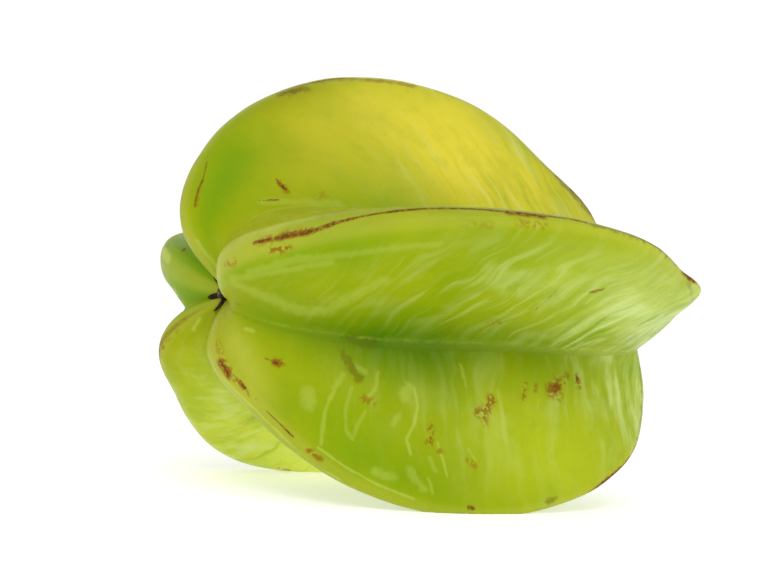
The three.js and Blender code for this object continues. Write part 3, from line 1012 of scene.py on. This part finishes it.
calyx = {
    "sepals": 5,
    "innerRadius": 0.0015,
    "outerRadius": 0.0031,
    "sharpness": 2.2,
    "thickness": 0.00035,
    "slope": 0.45,            # follows the pit's wall
    "crumple": 0.0005,
    "curl": 0.0007,
    "seed": 3,
    "liftAbovePit": 0.00045,
    "dark": (22, 12, 6),
    "light": (70, 42, 22),
    "grain": 1800.0,
}
calyxSizes = sizeInputs(calyx, ("sepals", "innerRadius", "outerRadius", "sharpness", "thickness", "slope",
                                "crumple", "curl", "seed"))


def polarSheet(tree, around, outwards):
    # a flat grid; X runs out from the middle over the top and back underneath, Y runs round
    grid = putNode(tree, "GeometryNodeMeshGrid", {"Size X": 1.0, "Size Y": 1.0, "Vertices X": outwards,
                                                  "Vertices Y": around})
    place = putNode(tree, "GeometryNodeInputPosition")
    parts = putNode(tree, "ShaderNodeSeparateXYZ", {0: place}).socket.node.outputs
    turn = (Field(parts[1]) + 0.5) * (2 * math.pi)
    ring = combine(tree, calc("COSINE", turn), calc("SINE", turn))
    return grid, Field(parts[0]) + 0.5, turn, ring


def closedSheet(tree, grid, flat, height):
    shape = moved(tree, grid, Position=vectorCalc("ADD", flat, combine(tree, 0.0, 0.0, height)))
    return putNode(tree, "GeometryNodeMergeByDistance", {"Geometry": shape, "Distance": 0.000002})


def calyxTree():
    tree, given, result = shapeTree("driedCalyx", calyxSizes)
    grid, out, turn, ring = polarSheet(tree, 121, 61)
    lobe = calc("POWER", calc("COSINE", turn * given["Sepals"]) * 0.5 + 0.5, given["Sharpness"])
    uneven = noiseAt(tree, 1.6, 4.0, place=ring, seed=given["Seed"])
    reach = (given["Outer Radius"] - given["Inner Radius"]) * (lobe * (uneven * 1.2 + 0.4))
    rimRadius = calc("MINIMUM", given["Inner Radius"] + reach, given["Outer Radius"])
    # out 0 to 0.5 is the top, 0.5 to 1 the underside
    fromRim = calc("ABSOLUTE", out * 2.0 - 1.0)
    part = 1.0 - calc("POWER", fromRim, 1.3)
    radius = rimRadius * part
    upOrDown = calc("LESS_THAN", out, 0.5) * 2.0 - 1.0
    fat = calc("SQRT", 1.0 - calc("POWER", part, 4.0)) * 0.5 * given["Thickness"] * upOrDown
    flat = scaled(ring, radius)
    wrinkle = noiseAt(tree, 900.0, 3.0, place=flat, seed=given["Seed"])
    lift = radius * given["Slope"] + (wrinkle - 0.5) * given["Crumple"]
    lift = lift + calc("POWER", part, 3.0) * (lobe * given["Curl"])
    shape = closedSheet(tree, grid, flat, lift + fat)
    endTree(tree, shape, given, result)
    return tree


def dryMaterial(name, values):
    material, tree, surface = newMaterial(name)
    place = putNode(tree, "ShaderNodeTexCoord", None, "Object")
    coarse = noiseAt(tree, values["grain"], 4.0, 0.65, place)
    fine = noiseAt(tree, values["grain"] * 4, 2.0, 0.6, place)
    blotch = between(coarse * 0.7 + fine * 0.3, 0.42, 0.66)
    link(mixColour(blotch, colour(*values["dark"]), colour(*values["light"])), surface["Base Color"])
    link(between(fine, 0.3, 0.7, 0.75, 0.95), surface["Roughness"])
    bump = putNode(tree, "ShaderNodeBump", {"Height": coarse, "Strength": 0.6, "Distance": 0.0001})
    link(bump, surface["Normal"])
    surface["Specular IOR Level"].default_value = 0.2
    return material


def grownInPit(name, tree, sizes, material, values):
    blank = newObject(name + "Blank", bpy.data.meshes.new(name + "Blank"))
    piece = grown(blank, tree, sizes, material, name)
    # local Z points out of the pit, towards the stem
    outwards = Matrix(((0, 0, -1, 0), (0, -1, 0, 0), (-1, 0, 0, 0), (0, 0, 0, 1)))
    along = fruit["scarDepth"] - values["liftAbovePit"]
    piece.data.transform(laidDown @ Matrix.Translation((along, 0, 0)) @ outwards)
    print(name + ":", len(piece.data.vertices), "vertices")
    return piece


def buildCalyx():
    piece = grownInPit("driedCalyx", calyxTree(), calyxSizes, dryMaterial("dryCalyx", calyx), calyx)
    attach(piece, "root")
    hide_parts("calyx_remnant")


stub = {
    "radius": 0.0008,
    "length": 0.0012,
    "unevenness": 0.00025,
    "seed": 5,
    "liftAbovePit": 0.0008,
    "dark": (58, 42, 36),
    "light": (132, 104, 96),
    "grain": 2600.0,
}
stubSizes = sizeInputs(stub, ("radius", "length", "unevenness", "seed"))


def stubTree():
    tree, given, result = shapeTree("stalkStub", stubSizes)
    grid, out, turn, ring = polarSheet(tree, 49, 41)
    # out 0 to 0.4 is the broken top, 0.4 to 0.9 the bark, 0.9 to 1 the foot
    part = calc("MINIMUM", between(out, 0.0, 0.42), between(out, 1.0, 0.9))
    fall = between(out, 0.36, 0.95)
    waist = calc("ABSOLUTE", fall - 0.5) * 0.28 + 0.86
    flat = scaled(ring, given["Radius"] * part * waist)
    rough = noiseAt(tree, 2200.0, 3.0, place=flat, seed=given["Seed"])
    broken = (rough - 0.5) * (given["Unevenness"] * 2.0)
    height = (given["Length"] + broken) * (1.0 - fall)
    shape = closedSheet(tree, grid, flat, height)
    endTree(tree, shape, given, result)
    return tree


def buildStub():
    piece = grownInPit("stalkStub", stubTree(), stubSizes, dryMaterial("dryStalk", stub), stub)
    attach(piece, "root")
    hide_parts("stem_stub")


buildCalyx()
buildStub()


# ---- floor, light and camera

studio = {
    "floorRadius": 2.5,
    "floorGlow": 0.47,
    "skyLight": 0.72,      # light that the fruit gets from all round
    "skySeen": 1.05,       # white behind it
    "aim": (0, 0, 0.035),
    # place, size and power of each lamp
    "keyLight": ((-0.35, -0.6, 0.6), 0.5, 2.2),
    "fillLight": ((0.7, -0.5, 0.35), 0.6, 0.8),
}


def addFloor():
    mesh = bpy.data.meshes.new("floor")
    shape = bmesh.new()
    bmesh.ops.create_circle(shape, cap_ends=True, segments=96, radius=studio["floorRadius"])
    shape.to_mesh(mesh)
    shape.free()
    floor = newObject("floor", mesh)
    material, tree, surface = newMaterial("paleFloor")
    surface["Base Color"].default_value = (0.85, 0.85, 0.85, 1)
    surface["Roughness"].default_value = 0.9
    surface["Specular IOR Level"].default_value = 0.0
    surface["Emission Color"].default_value = (1, 1, 1, 1)
    surface["Emission Strength"].default_value = studio["floorGlow"]
    mesh.materials.append(material)


def addLight(name):
    place, size, power = studio[name]
    data = bpy.data.lights.new(name, "AREA")
    data.shape = "DISK"
    data.size = size
    data.energy = power
    light = newObject(name, data)
    light.location = place
    light.rotation_euler = (Vector(studio["aim"]) - Vector(place)).to_track_quat("-Z", "Y").to_euler()


def addSky():
    world = bpy.data.worlds.new("studioSky")
    world.use_nodes = True
    tree = world.node_tree
    seen = putNode(tree, "ShaderNodeLightPath", None, "Is Camera Ray")
    background = tree.nodes["Background"]
    background.inputs[0].default_value = (1, 1, 1, 1)
    link(between(seen, 0.0, 1.0, studio["skyLight"], studio["skySeen"]), background.inputs[1])
    bpy.context.scene.world = world


camera = {
    "azimuth": -27.89,
    "elevation": 0.79,
    "roll": 4.87,
    "distance": 0.3331,
    "lens": 90.55,
    "aimOffset": (-0.0048, 0.0023, -0.0018),   # from the middle of the fruit's box
}


def addCamera():
    low, high = cadBox
    aim = (low + high) / 2 + Vector(camera["aimOffset"])
    a, e = math.radians(camera["azimuth"]), math.radians(camera["elevation"])
    back = Vector((math.sin(a) * math.cos(e), -math.cos(a) * math.cos(e), math.sin(e)))
    data = bpy.data.cameras.new("camera")
    data.lens = camera["lens"]
    data.clip_start = 0.01
    data.clip_end = 20.0
    view = newObject("camera", data)
    turn = (-back).to_track_quat("-Z", "Y").to_matrix().to_4x4()
    roll = Matrix.Rotation(math.radians(camera["roll"]), 4, "Z")
    view.matrix_world = Matrix.Translation(aim + back * camera["distance"]) @ turn @ roll
    bpy.context.scene.camera = view


addFloor()
addSky()
addLight("keyLight")
addLight("fillLight")
addCamera()
bpy.context.scene.view_settings.view_transform = "Standard"
print("studio ready")
